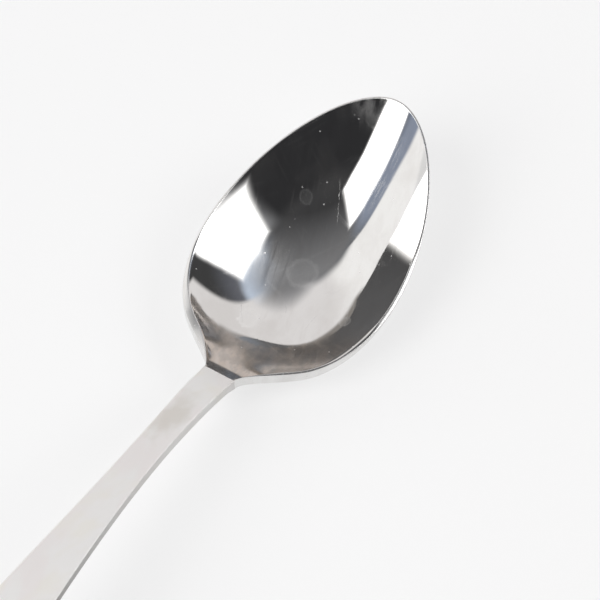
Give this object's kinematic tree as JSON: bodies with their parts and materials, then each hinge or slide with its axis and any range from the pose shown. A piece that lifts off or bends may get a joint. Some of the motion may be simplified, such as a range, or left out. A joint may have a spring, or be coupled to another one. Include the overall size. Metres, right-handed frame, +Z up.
{
  "type": "tablespoon",
  "caption": "Polished stainless steel tablespoon with a deep pointed egg-shaped bowl and a flat-topped arched handle that widens to a rounded end.",
  "frame": {"origin": "on the table, under the middle of the spoon's bounding box", "axes": "+X along the spoon towards the tip of the bowl, +Z up out of the bowl, +Y across it"},
  "size_m": [0.2048, 0.043, 0.0219],
  "materials": {
    "bowl": "mirror-polished stainless steel, not plated",
    "handle": "polished stainless steel, dulled by use"
  },
  "bodies": {
    "root": {"bowl": "bowl", "handle": "handle"}
  },
  "joints": []
}
